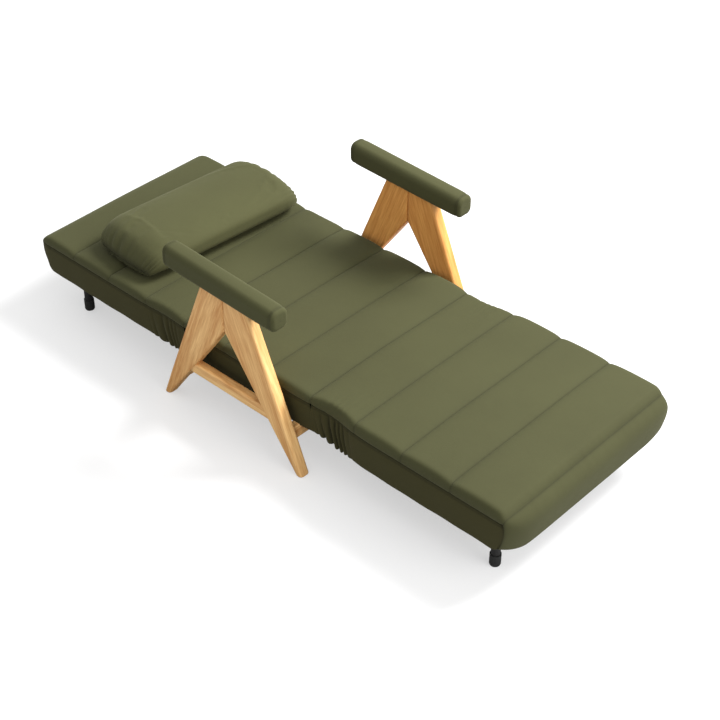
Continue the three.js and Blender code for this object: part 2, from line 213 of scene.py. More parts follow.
def pad_faces(rows, columns, bands):
    """Faces of a closed pad: a top grid, loops round its edge, and an under grid of the same size."""
    top = np.arange(rows * columns).reshape(rows, columns)
    edge = edge_loop(top)
    loops = top.size + np.arange(bands * edge.size).reshape(bands, edge.size)
    under = top + top.size + loops.size
    ladder = np.vstack([edge, loops, edge_loop(under)])
    ladder = np.hstack([ladder, ladder[:, :1]])
    return np.concatenate([
        np.stack([top[:-1, :-1], top[:-1, 1:], top[1:, 1:], top[1:, :-1]], -1).reshape(-1, 4),
        np.stack([ladder[:-1, :-1], ladder[1:, :-1], ladder[1:, 1:], ladder[:-1, 1:]], -1).reshape(-1, 4),
        np.stack([under[:-1, :-1], under[1:, :-1], under[1:, 1:], under[:-1, 1:]], -1).reshape(-1, 4),
    ])


def hump(distance, half):
    """1 at no distance, falling smoothly to 0 at half and beyond."""
    return np.clip(1 - (distance / half) ** 2, 0, None) ** 2


def folding(y):
    """How much the cover is gathered here: 1 at the foot fold, less at the back fold, 0 away from both."""
    return hump(y - foot_fold, CHANNEL / 2) + 0.5 * hump(y - back_fold, CHANNEL / 2)


def line_distance(y):
    """Distance from the nearest sewn channel line, which lie a channel apart from the foot seam on."""
    along = (y - foot_seam) / CHANNEL
    lines = np.clip(np.round(along), 0, CHANNEL_COUNT)
    return np.abs(along - lines) * CHANNEL


def smooth_step(t):
    """0 below 0, 1 above 1, and a smooth climb between."""
    t = np.clip(t, 0, 1)
    return t * t * (3 - 2 * t)


def on_foot(y):
    """1 on the foot section, 0 on the seat and back, changing over the foot fold."""
    return smooth_step((foot_fold + CHANNEL / 4 - y) / (CHANNEL * 0.75))


def sewn_pull(y):
    """How far the end of a sewn line draws the top panel in."""
    return 1.3 * np.exp(-line_distance(y) / 7)


def half_width(y):
    """Half the cover's greatest width: widest on the foot section, drawn in at the folds and at the ends of the
    sewn lines, and rounded at the corners."""
    head = np.clip((y - (head_seam - 44)) / 44, 0, 1)
    foot = np.clip(1 - (y - foot_seam) / 22, 0, 1)
    full = BACK_HALF_WIDTH + (FOOT_HALF_WIDTH - BACK_HALF_WIDTH) * on_foot(y)
    return full - 11 * hump(y - foot_fold, 150) - 3 * hump(y - back_fold, 120) - 9 * head**3 - foot**2 - sewn_pull(y)


def sewn_dip(y):
    """The V of a sewn line, 1 at the line: a fine cut with a soft dip round it."""
    d = line_distance(y)
    return 0.5 * np.exp(-d / 2.4) + 0.5 * np.exp(-((d / 17) ** 2))


def rim_angle(across):
    """Angle on the rounded rim: a quarter turn where the flat top ends, below level at the seam."""
    t = np.clip((np.abs(across) - RIM_START) / (1 - RIM_START), 0, 1)
    return np.pi / 2 - t * (np.pi / 2 + RIM_TUCK)


def end_fall(y):
    """How far the top has rolled over at its two ends, as a share of the height of the rim: a quarter ellipse at
    the head, a steepening curve at the foot."""
    head = np.clip((y - head_seam + HEAD_NOSE) / HEAD_NOSE, 0, 1)
    foot = np.clip(1 - (y - foot_seam) / FOOT_NOSE, 0, 1)
    return np.maximum(1 - np.sqrt(1 - head**2), 0.42 * foot**2.1)


def top_panel(across, y):
    """Places on the padded top. across runs from -1 to 1 between the side seams. The top is nearly flat, puffed
    between the sewn lines, and turns down over a round rim that overhangs the seams. The V of each sewn line
    deepens over the rim, and the gathers of a fold pinch it. At the two ends the top rolls over in the same way."""
    edge = np.abs(across)
    d = line_distance(y)
    angle = rim_angle(across)
    drop = 8 * hump(y - foot_fold, 130) + 3 * on_foot(y)
    inner = 1 - (edge / RIM_START).clip(0, 1) ** 6
    flat = half_width(y) - RIM_REACH
    squared = np.sign(np.cos(angle)) * np.abs(np.cos(angle)) ** 0.86
    reach = RIM_REACH * squared - 3.5 * folding(y) * squared
    x = np.sign(across) * (flat * np.clip(edge / RIM_START, 0, 1) + reach)
    side_fall = (1 - np.sign(np.sin(angle)) * np.abs(np.sin(angle)) ** 0.86) / (1 + math.sin(RIM_TUCK) ** 0.86)
    fall = 1 - (1 - side_fall) * (1 - end_fall(y))
    crown = CROWN + 5 * on_foot(y) + 3.0 * (1 - (edge / RIM_START).clip(0, 1) ** 2)
    puff = PUFF * (1 - np.clip(1 - d / (CHANNEL / 2), 0, 1) ** 2.2)
    dip = (4.5 + 1.0 * (1 - inner)) * sewn_dip(y)
    pinch = 2.5 * folding(y) * (1 - inner) * (pleats(y, 0) - 0.65)
    ripple = 0.25 * np.sin(across * 96 + 2.1 * np.sin(y / 37)) * np.exp(-d / 10) * inner
    soft = 1.3 * np.sin(across * 5.3 + y / 210) * np.sin(y / 93 + 1.3) * inner
    from_foot = y - foot_seam
    wander = 0.5 * np.sin(x / 9 + 2 * np.sin(x / 41)) * np.exp(-from_foot / 9)
    foot_line = 1.8 * np.exp(-from_foot / 2.2) + wander
    lift = crown - 6 + puff - dip * (1 - 0.7 * np.exp(-from_foot / 30)) + drop - foot_line
    z = seam_z - drop + lift * (1 - fall) + (ripple + soft + pinch) * (1 - fall)
    bow = 9 * (1 - across**8) * np.exp(-from_foot / 45)
    skew = 8 * across * smooth_step((y - back_fold) / 600)
    return np.stack([x, y - bow + skew, z], -1)


def pleats(y, s):
    """Gathers: sharp valleys between round ridges, unevenly spaced, leaning to the foot on the way down. 0 in a
    valley, 1 on a ridge."""
    at = y + PLEAT_LEAN * s
    return np.abs(np.sin(np.pi * at / PLEAT_SPACING + 1.0 * np.sin(at / 19) + 0.8 * np.sin(at / 43))) ** 0.7


def channel_stations(start, end, count=36, crowding=0.86):
    """Places along a channel, closer together at the sewn lines: t less a share of sin(2 pi t) / 2 pi."""
    t = np.linspace(0, 1, count + 1)
    return start + (end - start) * (t - crowding * np.sin(2 * np.pi * t) / (2 * np.pi))


def folding_stations(start, end):
    """Places along a channel over a fold, close enough together for its gathers."""
    return channel_stations(start, end, 88, 0.35)


def side_band(y, s, height):
    """Outward place of the side band at a share s of its height: a lip under the seam, two stitched lines, a slight
    bulge, and over the folds pleats that grow downwards while the whole band tucks in."""
    below = s * height
    gather = folding(y)
    lip = 2.2 * (1 - np.exp(-below / 1.3))
    stitched = 0.6 * sum(np.exp(-(((below - row) / 0.9) ** 2)) for row in STITCH_ROWS)
    bulge = 3.0 * np.sin(np.pi * s**0.8)
    pleat = PLEAT_DEPTH * gather * s**0.4 * (pleats(y, s) - 0.65) * (1 - 0.3 * s)
    wave = 1.2 * s * np.sin(y / 61 + 0.8) * np.sin(y / 29)
    lip = lip + sewn_pull(y) * (1 - np.exp(-below / 5))
    tuck = 4 * gather * s**1.5 + 3 * gather * np.exp(-((below - 12) / 14) ** 2)
    return lip - stitched + bulge + pleat + wave - tuck


def end_band(width, s, depth, level, tuck):
    """Outward place of an end panel: it bulges to its depth at a level, comes back by the tuck at the hem, and bulges
    least at its two upright corner seams."""
    full = np.where(width < 0, 1 - 0.85 * np.abs(width) ** 9, 1 - 0.15 * np.abs(width) ** 16)
    upper = depth * (1 - np.clip(1 - s / level, 0, 1) ** 2.6)
    return full * upper - tuck * np.clip((s - level) / (1 - level), 0, 1) ** 1.6


def hem_height(y, width, across, at_foot, at_head):
    """Height of the hem round a cover: level along the sides, lower on the foot section, drawn down and waved by the
    gathers of a fold, and swept up towards the four corners, more on the left side at the foot."""
    gather = folding(y)
    left = across < 0
    foot_round = np.clip(1 - (y - foot_seam) / 34, 0, 1) ** 2
    head_round = np.clip(1 - (head_seam - y) / 46, 0, 1) ** 2
    wave = 6 * gather * (1 - 2 * pleats(y, 1))
    side_hem = hem_z + HEM_LIFT - FOOT_HEM_DROP * on_foot(y) - 12 * gather + wave + 36 * head_round
    side_hem = side_hem + np.where(left, 22, 6) * foot_round
    corner = np.clip((np.abs(width) - 0.76) / 0.24, 0, 1) ** 1.4
    foot_hem = hem_z + 5 + np.where(left, 26, 12) * corner
    head_hem = hem_z + 20 + 34 * corner
    return np.where(at_foot, foot_hem, np.where(at_head, head_hem, side_hem))


def top_painted_shade(across, y):
    """Painted shade on the top panel: a narrow dark line with a soft edge at each sewn line, fainter on the first one
    at the foot, and a thin dark line along the side seams."""
    d = line_distance(y)
    near_line = np.exp(-d / 2.6) * 0.8 + 0.2 * np.exp(-((d / 15) ** 2))
    near_seam = np.exp(-(1 - np.abs(across)) / 0.012)
    return np.maximum(near_line * np.where(y < foot_seam + 60, 0.35, 0.55), near_seam)


def band_painted_shade(below, s, y, on_side, from_corner):
    """Painted shade on a band: dark just under the seam and at the corner seams, and on the sides also between
    the two stitched rows and in the valleys of the gathers."""
    shade = np.exp(-below / 2.2) + 0.5 * np.exp(-(((below - 7) / 3) ** 2)) * on_side
    shade = shade + 1.2 * folding(y) * (1 - pleats(y, s)) * on_side * np.clip(below / 20, 0, 1)
    return shade + 0.55 * np.exp(-from_corner / 4)


def mattress_cover(name, stations, foot_closed, head_closed):
    """One closed cover: the top panel as a grid, loops down its outer band, under the hem and up the inner
    band, then the underside as a grid just above the slats. An end that meets the next cover is flat."""
    across = np.linspace(-1, 1, ACROSS_COUNT) + 0 * stations[:, None]
    y = stations[:, None] + 0 * across
    rows, columns = across.shape
    top = top_panel(across, y)
    edge, edge_across, edge_y = edge_loop(top), edge_loop(across), edge_loop(y)
    count = np.arange(edge_y.size)
    at_foot = (count > 0) & (count < columns - 1)
    at_head = (count > columns + rows - 2) & (count < 2 * columns + rows - 3)
    at_end = at_foot | at_head
    joined = (at_foot & (not foot_closed)) | (at_head & (not head_closed))
    side = np.where(at_end, 0.0, np.sign(edge_across))
    on_side = np.abs(side)
    # The sides follow the closed end's panel for the last few millimetres, so that the corner seams stay shut.
    if foot_closed:
        near_end = -np.exp(-(edge_y - foot_seam) / 14)
    else:
        near_end = np.exp(-(head_seam - edge_y) / 14) * head_closed
    outward = np.where(at_foot, -1.0, np.where(at_head, 1.0, near_end))
    width = edge[:, 0] / np.abs(edge[:, 0]).max()
    hem = np.where(joined, ceiling_z, hem_height(edge_y, width, edge_across, at_foot, at_head))
    height = edge[:, 2] - hem
    loops = []
    for s in BAND_SHARES:
        out_side = side_band(edge_y, s, height) * on_side
        out_end = np.where(joined, 0, end_band(width, s, *(FOOT_PANEL if foot_closed else HEAD_PANEL)))
        loops.append(edge + np.stack([side * out_side, outward * out_end, -s * height], -1))
    outer = loops[-1]
    wall = np.where(joined, 0.0, HEM_WALL)
    into = np.stack([-np.sign(edge_across) * on_side, -np.sign(outward) * (np.abs(outward) > 0.99)], -1)
    for turn in np.linspace(0.2, 1, 5) * np.pi:
        ring = outer.copy()
        ring[:, :2] += into * (wall * (1 - math.cos(turn)) / 2)[:, None]
        ring[:, 2] -= wall / 2 * math.sin(turn)
        loops.append(ring)
    inner = loops[-1]
    under_x = across * (half_width(y) - UNDERSIDE_INSET)
    under_y = np.clip(y, foot_seam + 8, head_seam - 14)
    under = np.stack([under_x, under_y, np.full_like(across, ceiling_z)], -1)
    goal = edge_loop(under)
    loops += [inner + (goal - inner) * share for share in (0.15, 0.4, 0.7, 0.9)]
    loops = np.stack(loops)
    points = np.concatenate([top.reshape(-1, 3), loops.reshape(-1, 3), under.reshape(-1, 3)])
    made = make_object(name, points, pad_faces(rows, columns, len(loops)).tolist())

    # Painted shade: the side bands take a darker, warmer velvet colour, in full from the third loop down.
    painted_band_shade = np.zeros(len(points))
    band = on_side[None] * np.clip(np.arange(1, len(loops) + 1) / 3, 0, 1)[:, None]
    painted_band_shade[across.size: across.size + band.size] = band.reshape(-1)
    number(made, "painted_band_shade", painted_band_shade)
    # Painted shade, which darkens the velvet's colour: along the top's sewn lines and side seams, and on the bands
    # under the seam, at the corner seams, between the stitched rows and in the valleys of the gathers.
    painted_shade = np.zeros(len(points))
    painted_shade[: across.size] = top_painted_shade(across, y).reshape(-1)
    from_end = np.minimum(edge_y - foot_seam, head_seam - edge_y)
    from_corner = np.where(at_end, (1 - np.abs(width)) * BACK_HALF_WIDTH, from_end)
    below = BAND_SHARES[:, None] * height[None]
    shade = band_painted_shade(below, BAND_SHARES[:, None], edge_y, on_side, from_corner)
    shade = np.where(joined[None], 0, shade).clip(0, 1)
    painted_shade[across.size: across.size + shade.size] = shade.reshape(-1)
    number(made, "painted_shade", painted_shade)
    lining = np.zeros(len(made.data.polygons), np.int32)
    lining[-(rows - 1) * (columns - 1):] = 1
    made.data.polygons.foreach_set("material_index", lining)
    return made


def flat_stations(first, last):
    """Places along the flat channels from one sewn line to another, without the last line."""
    return [channel_stations(line[k], line[k + 1])[:-1] for k in range(first, last)]


line = foot_seam + CHANNEL * np.arange(CHANNEL_COUNT + 1)
foot_stations = np.concatenate(flat_stations(0, 3) + [folding_stations(line[3], line[4])[:-1], [line[4] - SEAM_GAP]])
seat_stations = np.concatenate(flat_stations(4, 7) + [[line[7] - SEAM_GAP]])
seat_stations[0] += SEAM_GAP
last_flat = line[10] + (head_seam - HEAD_NOSE - line[10]) * np.linspace(0, 1, 24) ** 1.5
head_nose = head_seam - HEAD_NOSE + HEAD_NOSE * np.sin(np.linspace(0, np.pi / 2, 19)[1:])
back_folding = folding_stations(line[7], line[8])[:-1]
back_stations = np.concatenate([back_folding] + flat_stations(8, 10) + [last_flat, head_nose])
back_stations[0] += SEAM_GAP

foot_cover = mattress_cover("foot_cover", foot_stations, True, False)
seat_cover = mattress_cover("seat_cover", seat_stations, False, False)
back_cover = mattress_cover("back_cover", back_stations, False, True)


def new_material(name, roughness, **fixed):
    """A material with one plain shader. Returns the material, its shader and a maker of nodes in it."""
    made = bpy.data.materials.new(name)
    made.use_nodes = True
    tree = made.node_tree
    shader = tree.nodes["Principled BSDF"]
    shader.inputs["Roughness"].default_value = roughness
    for socket, value in fixed.items():
        shader.inputs[socket.replace("_", " ")].default_value = value
    return made, shader, maker(tree)


def maker(tree):
    """A function that adds a node to this tree. Settings are given by name, inputs by a dictionary of values or
    of sockets to link from."""
    def add(kind, inputs=None, **settings):
        node = tree.nodes.new("ShaderNode" + kind)
        for key, value in settings.items():
            setattr(node, key, value)
        for key, value in (inputs or {}).items():
            if isinstance(value, bpy.types.NodeSocket):
                tree.links.new(value, node.inputs[key])
            else:
                node.inputs[key].default_value = value
        return node
    add.tree = tree
    return add


def join(add, source, target):
    """Links two sockets."""
    add.tree.links.new(source, target)


def two_tones(add, share, first, second):
    """The colour at a share of the way from a first tone to a second."""
    inputs = {0: share, 6: (*first, 1), 7: (*second, 1)}
    return add("Mix", inputs, data_type="RGBA").outputs[2]


VELVET = (0.0435, 0.0435, 0.0168)
VELVET_LIGHT = (0.0555, 0.0565, 0.0218)
# Darker, warmer velvet painted on the side bands as shade.
VELVET_BAND_SHADE = (0.037, 0.0335, 0.0095)
VELVET_SHEEN = (0.58, 0.58, 0.34)
# Share of its colour that the velvet keeps where the painted shade is full.
DARKEST_PAINTED_SHADE = 0.42

velvet, shader, add = new_material(
    "olive_velvet", 0.86, Specular_IOR_Level=0.2, Sheen_Weight=0.12, Sheen_Roughness=0.45)
shader.inputs["Sheen Tint"].default_value = (*VELVET_SHEEN, 1)
place = add("TexCoord").outputs["Object"]
brushed = add("TexNoise", {"Vector": place, "Scale": 4.5, "Detail": 3.0, "Roughness": 0.55})
pile = add("TexNoise", {"Vector": place, "Scale": 1400.0, "Detail": 2.0})
hand = add("TexNoise", {"Vector": place, "Scale": 38.0, "Detail": 4.0, "Distortion": 0.4})
tone = two_tones(add, brushed.outputs["Fac"], VELVET, VELVET_LIGHT)
fleck_range = {"From Min": 0.3, "From Max": 0.7, "To Min": 0.88, "To Max": 1.12}
fleck = add("MapRange", {"Value": pile.outputs["Fac"], **fleck_range})
speck = add("VectorMath", {0: tone, "Scale": fleck.outputs[0]}, operation="SCALE")
# Painted shade: where the value is 1 the colour turns to the darker band tone.
painted_band_shade = add("Attribute", attribute_name="painted_band_shade")
band_shaded = add("Mix", {0: painted_band_shade.outputs["Fac"], 6: speck.outputs[0], 7: (*VELVET_BAND_SHADE, 1)}, data_type="RGBA")
# Painted shade: the colour darkens towards the darkest share as the value rises to 1, and lightens where the value is
# below 0.
painted_shade = add("Attribute", attribute_name="painted_shade")
painted_shade_factor = add("MapRange", {"Value": painted_shade.outputs["Fac"], "To Min": 1.0, "To Max": DARKEST_PAINTED_SHADE}, clamp=False)
shaded = add("VectorMath", {0: band_shaded.outputs[2], "Scale": painted_shade_factor.outputs[0]}, operation="SCALE")
join(add, shaded.outputs[0], shader.inputs["Base Color"])
fuzz = add("Bump", {"Height": pile.outputs["Fac"], "Distance": 0.0004, "Strength": 0.35})
hand_marks = {"Height": hand.outputs["Fac"], "Distance": 0.0012, "Strength": 0.25}
strokes = add("Bump", {**hand_marks, "Normal": fuzz.outputs[0]})
join(add, strokes.outputs[0], shader.inputs["Normal"])

lining, shader, add = new_material("black_lining", 0.9)
place = add("TexCoord").outputs["Object"]
felt = add("TexNoise", {"Vector": place, "Scale": 520.0, "Detail": 3.0})
shade = two_tones(add, felt.outputs["Fac"], (0.012, 0.012, 0.011), (0.03, 0.03, 0.028))
join(add, shade, shader.inputs["Base Color"])
nubs = add("Bump", {"Height": felt.outputs["Fac"], "Distance": 0.0005, "Strength": 0.5})
join(add, nubs.outputs[0], shader.inputs["Normal"])

for cover, cushion in ((foot_cover, "foot_cushion"), (seat_cover, "seat_cushion"), (back_cover, "back_cushion")):
    cover.data.materials.append(velvet)
    cover.data.materials.append(lining)
    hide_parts(cushion)
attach(seat_cover, "base")


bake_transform(foot_cover)
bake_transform(back_cover)


# Loose bolster pillow in the same velvet. One piece of cloth goes round the filling and is gathered a little into a
# seam at each end. It lies slightly askew and flattens where it rests. Its cloth is let out by a short simulation.
PILLOW_HALF_LENGTH = 312.0
PILLOW_HALF_DEPTH = 155.0
PILLOW_NEAR_END = 96.0
PILLOW_FAR_END = 62.0
PILLOW_CAP = 3.0
PILLOW_SHIFT = 17.0
PILLOW_FORWARD = 9.0
PILLOW_SINK = 10.0
PILLOW_TURN = math.radians(-3.5)
low, high = (np.array(corner) * 1000 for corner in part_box("pillow"))
pillow_rest_z = axis_z + 14
pillow_top_z = high[2] + 9


def ring_faces(rings, around):
    """Faces of a closed skin: loops of points between a first and a last single point."""
    body = 1 + np.arange(rings * around).reshape(rings, around)
    body = np.hstack([body, body[:, :1]])
    last = 1 + rings * around
    quads = np.stack([body[:-1, :-1], body[:-1, 1:], body[1:, 1:], body[1:, :-1]], -1).reshape(-1, 4).tolist()
    start = np.stack([np.zeros(around, int), body[0, 1:], body[0, :-1]], -1).tolist()
    end = np.stack([np.full(around, last), body[-1, :-1], body[-1, 1:]], -1).tolist()
    return quads + start + end


def closed_skin(name, rings):
    """A closed skin over an array of loops. The middle of the first and of the last loop closes it."""
    points = np.concatenate([rings[0].mean(0)[None], rings.reshape(-1, 3), rings[-1].mean(0)[None]])
    return make_object(name, points, ring_faces(*rings.shape[:2]))


def pillow_puckers(turn):
    """Gathers round an end seam: unevenly spaced ridges between sharper valleys."""
    return np.sin(turn * 27 + 1.9 * np.sin(turn * 3) + 0.8 * np.sin(turn * 7)) * (0.55 + 0.45 * np.sin(turn * 5 + 1))


def filled_pillow():
    """Loops round the pillow from one end seam to the other, before the cloth is let out. A loop is a rounded
    rectangle: powers of the cosine and sine of the turn. Towards an end its height falls along a steepening
    curve to a thin edge, its depth by a tenth and more at the corners, and the gathers ripple both. Returns the
    loops, their distance from the nearer end, and the gathers."""
    u = np.linspace(-1, 1, 141)
    along = PILLOW_HALF_LENGTH * (0.72 * np.sin(np.pi * u / 2) + 0.28 * u)
    from_end = PILLOW_HALF_LENGTH - np.abs(along)
    near = along < 0
    t = np.clip(from_end / np.where(near, PILLOW_NEAR_END, PILLOW_FAR_END), 0, 1)
    thick = 0.11 + 0.89 * (1 - (1 - t) ** 2.2) ** np.where(near, 0.62, 0.5)
    corner = np.clip(1 - from_end / 46, 0, 1)
    wide = 0.90 + 0.10 * np.sqrt(t) - 0.13 * (1 - np.sqrt(1 - corner**2))
    turn = np.linspace(0, 2 * np.pi, 145)[:-1]
    ring_y = np.sign(np.cos(turn)) * np.abs(np.cos(turn)) ** 0.84
    ring_z = np.sign(np.sin(turn)) * np.abs(np.sin(turn)) ** 0.84
    half_height = (pillow_top_z - pillow_rest_z) / 2
    bow = 10 * (1 - np.abs(ring_y)[None] ** 2) * (1 - t[:, None]) * np.sign(along)[:, None]
    x = along[:, None] + bow
    gather = (np.exp(-from_end / 20) * (1 - np.exp(-from_end / 3)))[:, None] * pillow_puckers(turn)
    y = ring_y * PILLOW_HALF_DEPTH * (wide[:, None] + 0.03 * gather)
    z = half_height * (ring_z * (thick[:, None] + 0.20 * gather) - 0.62 * (1 - thick[:, None])) + 0 * x
    return np.stack([x, y, z], -1), from_end, gather


def places(mesh):
    """The places of a mesh's vertices, in metres."""
    found = np.empty(len(mesh.vertices) * 3, np.float32)
    mesh.vertices.foreach_get("co", found)
    return found.reshape(-1, 3)


def fill_with_cloth(piece, held, pressure, growth, frames):
    """Blows the piece up as cloth, weightless, with its seams held and the cloth let out by a share of growth.
    Returns the places it comes to, in millimetres."""
    seams = piece.vertex_groups.new(name="seams")
    seams.add(np.flatnonzero(held > 0.5).tolist(), 1.0, "REPLACE")
    cloth = piece.modifiers.new("filling", "CLOTH")
    cloth.settings.quality = 6
    cloth.settings.mass = 0.25
    cloth.settings.tension_stiffness = 18
    cloth.settings.compression_stiffness = 18
    cloth.settings.shear_stiffness = 8
    cloth.settings.bending_stiffness = 2.5
    cloth.settings.use_pressure = True
    cloth.settings.uniform_pressure_force = pressure
    cloth.settings.vertex_group_mass = "seams"
    cloth.settings.shrink_min = -growth
    cloth.settings.effector_weights.gravity = 0
    cloth.settings.air_damping = 4
    cloth.point_cache.frame_end = frames
    for frame_number in range(1, frames + 1):
        scene.frame_set(frame_number)
    found = places(piece.evaluated_get(bpy.context.evaluated_depsgraph_get()).data)
    piece.modifiers.clear()
    piece.vertex_groups.clear()
    scene.frame_set(1)
    return found * 1000


rings, from_end, gather = filled_pillow()
pillow = closed_skin("pillow_cover", rings[:, ::-1])
filled = places(pillow.data) * 1000
held = np.concatenate([[1.0], np.repeat((from_end < 1.0).astype(float), rings.shape[1]), [1.0]])
moved = fill_with_cloth(pillow, held, pressure=1.2, growth=0.004, frames=14) - filled
travel = np.linalg.norm(moved, axis=1, keepdims=True)
filled = filled + moved * np.minimum(1, PILLOW_CAP / np.maximum(travel, 1e-6))
c, s = math.cos(PILLOW_TURN), math.sin(PILLOW_TURN)
middle = (low + high) / 2
px, py, pz = filled.T
x = middle[0] + PILLOW_SHIFT + c * px - s * py
y = middle[1] - PILLOW_FORWARD + s * px + c * py
z = pillow_top_z - pz.max() + pz
sunk = pillow_rest_z + PILLOW_SINK
z = np.where(z < sunk, pillow_rest_z + PILLOW_SINK * np.exp((z - sunk) / PILLOW_SINK), z)
pillow.data.vertices.foreach_set("co", (np.stack([x, y, z], -1) / 1000).astype(np.float32).reshape(-1))
pillow.data.update()
number(pillow, "painted_band_shade", np.zeros(len(pillow.data.vertices)))
# Painted shade at the end seams, less on the ridges of the puckers; taking 0.3 off paints the rest of the pillow
# lighter.
painted_shade = (np.exp(-from_end / 3.0)[:, None] - 0.45 * gather).clip(0, 1)[:, ::-1]
number(pillow, "painted_shade", np.concatenate([[1], painted_shade.reshape(-1), [1]]) - 0.3)
pillow.data.materials.append(velvet)
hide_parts("pillow")
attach(pillow, "pillow")


# Armrest pads. A board with foam round it in a close velvet sleeve, with a flat panel sewn into each end and two
# stitched rows behind the seam. They sit on the tops of the wooden frames and lap down over them a little.
ARMREST_FRONT = 50.0
ARMREST_LAP_FRONT = 20.0
ARMREST_LAP_REAR = 2.0
ARMREST_EDGE = 11.0
ARMREST_CORNER = 19.0
ARMREST_SEAM = 10.0
ARMREST_ROWS = (15.0, 21.0)
STITCH_PULL = 1.3


def rounded_loop(half_w, half_h, radius, count):
    """A rectangle with rounded corners as a loop of points: corners as quarter circles, joined by straight sides,
    spaced evenly along its length."""
    t = np.linspace(0, np.pi / 2, 13)
    quarter = np.stack([np.cos(t), np.sin(t)], -1) * radius
    parts = []
    for k, (sx, sy) in enumerate(((1, 1), (-1, 1), (-1, -1), (1, -1))):
        angle = k * np.pi / 2
        turned = quarter @ np.array([[math.cos(angle), math.sin(angle)], [-math.sin(angle), math.cos(angle)]])
        parts.append(turned + [sx * (half_w - radius), sy * (half_h - radius)])
    path = np.concatenate(parts + [parts[0][:1]])
    run = np.concatenate([[0], np.cumsum(np.hypot(*np.diff(path, axis=0).T))])
    at = np.linspace(0, run[-1], count + 1)[:-1]
    return np.stack([np.interp(at, run, path[:, k]) for k in (0, 1)], -1)


def armrest_pad(name, node):
    """Rounded loops carried along the pad. The pad is a wedge: its top climbs evenly from front to rear, crowned by
    5 mm, and its underside laps down over the tops of the legs. Each end closes over a round edge to a nearly flat
    panel, behind its seam and two stitched rows."""
    low, high = (np.array(corner) * 1000 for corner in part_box(node))
    middle, half = (low + high) / 2, (high - low) / 2
    end_size = np.concatenate([np.linspace(0.03, 0.66, 7), np.linspace(0.7, 1, 16)])
    roundness = ((end_size - 0.62) / 0.38).clip(0, 1) ** 2.4
    y_end = half[1] - ARMREST_EDGE * (1 - np.sqrt(1 - roundness))
    body = np.linspace(-1, 1, 121)
    y = np.concatenate([-y_end, body * (half[1] - ARMREST_EDGE - 1), y_end[::-1]])
    inset = np.concatenate([1 - end_size, np.zeros(body.size), (1 - end_size)[::-1]])
    climb = (y / half[1] + 1) / 2
    tall = ARMREST_FRONT + (high[2] - low[2] - ARMREST_FRONT) * climb
    lap = (ARMREST_LAP_FRONT + (ARMREST_LAP_REAR - ARMREST_LAP_FRONT) * climb)[:, None]
    from_end = half[1] - np.abs(y)
    stitched = sum(np.exp(-(((from_end - row) / 1.7) ** 2)) for row in ARMREST_ROWS)
    seam = np.exp(-(((from_end - ARMREST_SEAM) / 1.8) ** 2))
    swell = 1.6 * np.sin(np.pi * np.clip(from_end / 90, 0, 0.5)) - STITCH_PULL * stitched - 1.6
    loop_x, loop_z = rounded_loop(half[0], half[0], ARMREST_CORNER, 128).T[:, None] / half[0]
    x = loop_x * (1 - inset + swell / half[0])[:, None] * half[0]
    crown = 5 * (0.4 - loop_x**2) * loop_z.clip(0, 1) ** 2 * (1 - inset[:, None])
    grow_z = (1 - inset + swell * 2 / tall)[:, None]
    z = (loop_z * grow_z + 1) * (tall[:, None] + lap) / 2 + crown - lap
    rings = np.stack([middle[0] + x, middle[1] + y[:, None] + 0 * x, low[2] + z], -1)
    pad = closed_skin(name, rings[:, ::-1])
    number(pad, "painted_band_shade", np.zeros(len(pad.data.vertices)))
    # Painted shade along each end seam and its two stitched rows; taking 0.14 off paints the rest of the pad a little
    # lighter.
    painted_shade = (0.7 * seam + 0.5 * stitched).clip(0, 1) - 0.14
    number(pad, "painted_shade", np.concatenate([[0], np.repeat(painted_shade, x.shape[1]), [0]]))
    pad.data.materials.append(velvet)
    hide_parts(node)
    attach(pad, "base")


armrest_pad("left_armrest_pad", "left_armrest")
armrest_pad("right_armrest_pad", "right_armrest")


# Wooden A-frames. Each is two solid legs that meet on an upright glue line under the armrest, with a stretcher
# between them, in clear-oiled rubberwood with eased edges. The legs taper to rounded feet.
APEX_Z = 391.0
JOINT_GAP = 0.15
SOLE = 25.0
LEG_TOP = 91.0
LEG_POINTS = 72
BAR_POINTS = 48
BOARD_WIDTH = 0.034
STOCK_LENGTH = 1.7
WOOD_TONES = {
    "left": ("oiled_wood", (0.92, 0.61, 0.26), (0.49, 0.20, 0.045)),
    # The right frames take a darker, redder copy of the same wood: painted shade.
    "right": ("oiled_wood_shaded", (0.80, 0.41, 0.115), (0.44, 0.15, 0.028)),
}


